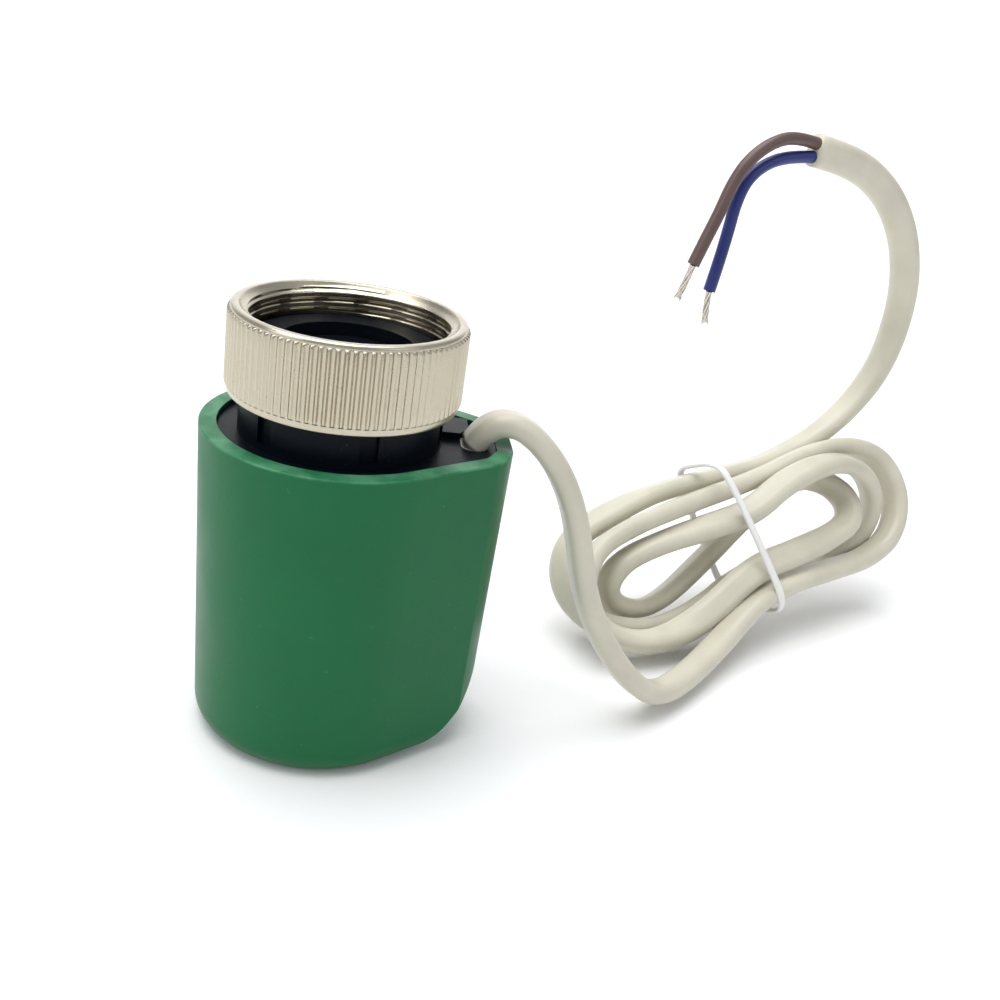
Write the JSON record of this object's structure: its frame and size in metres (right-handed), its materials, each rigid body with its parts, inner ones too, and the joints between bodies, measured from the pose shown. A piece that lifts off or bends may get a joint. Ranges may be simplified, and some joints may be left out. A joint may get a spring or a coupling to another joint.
{
  "type": "thermal actuator head",
  "caption": "Thermal valve actuator head: green closed-end housing with a cable nose, knurled union nut on a black neck, and a tied flat supply cable with bare cores.",
  "frame": {"origin": "on the union nut's axis, in the plane of the housing's closed end that the head stands on", "axes": "+Z along the nut's axis towards the valve, +X towards the nose where the cable leaves"},
  "size_m": [0.1473, 0.0897, 0.0957],
  "materials": {
    "green_plastic": "fine satin moulded",
    "black_plastic": "satin",
    "black_gloss": "glossy",
    "natural_plastic": "satin",
    "rubber_black": "matt",
    "spring_steel": "drawn wire",
    "pressed_steel": "zinc plated",
    "screw_steel": "zinc plated",
    "polished_steel": "ground",
    "brass": "turned",
    "wax": "filled wax",
    "ceramic": "fired ceramic",
    "contact_metal": "plated",
    "nickel": "satin nickel plate",
    "cable_white": "soft PVC, slight sheen",
    "core_brown": "PVC insulation",
    "core_blue": "PVC insulation",
    "tinned_copper": "tinned, twisted",
    "tie_white": "plastic coated wire"
  },
  "bodies": {
    "housing": {"cover": "green_plastic", "cover_gasket": "rubber_black", "base_plate": "black_plastic", "nut_retainer": "black_plastic", "spring_seat": "spring_steel", "closing_spring": "spring_steel", "wax_bridge": "pressed_steel", "bridge_screws": "screw_steel", "wax_guide": "brass", "wax_membrane": "rubber_black", "wax_charge": "wax", "wax_cup": "brass", "contact_live": "contact_metal", "contact_neutral": "contact_metal", "heater_pill": "ceramic", "heater_cap": "natural_plastic", "cable_inside": "cable_white", "cable_clamp": "black_plastic", "clamp_screws": "screw_steel", "lead_live": "core_brown", "lead_neutral": "core_blue", "cable_drop": "cable_white", "cable_hank": "cable_white", "cable_tail": "cable_white", "core_brown": "core_brown", "core_blue": "core_blue", "strands_brown": "tinned_copper", "strands_blue": "tinned_copper", "wire_tie": "tie_white"},
    "nut": {"union_nut": "nickel"},
    "lifter": {"lifting_cage": "natural_plastic", "pressure_pad": "black_gloss", "pad_seal": "rubber_black"},
    "piston": {"wax_piston": "polished_steel"}
  },
  "joints": [
    {"name": "nut_spin", "type": "hinge", "parent": "housing", "child": "nut", "pos_m": [0, 0, 0.06], "axis": [0, 0, 1], "continuous": true},
    {"name": "valve_stroke", "type": "slide", "parent": "housing", "child": "lifter", "axis": [0, 0, -1], "range_m": [0, 0.004], "stiffness_N_per_m": 1000, "springref_m": -0.004, "deforming": ["closing_spring"]},
    {"name": "piston_stroke", "type": "slide", "parent": "housing", "child": "piston", "axis": [0, 0, -1], "range_m": [0, 0.004]}
  ],
  "couplings": [
    {"joint": "piston_stroke", "follows": "valve_stroke", "ratio": 1}
  ]
}
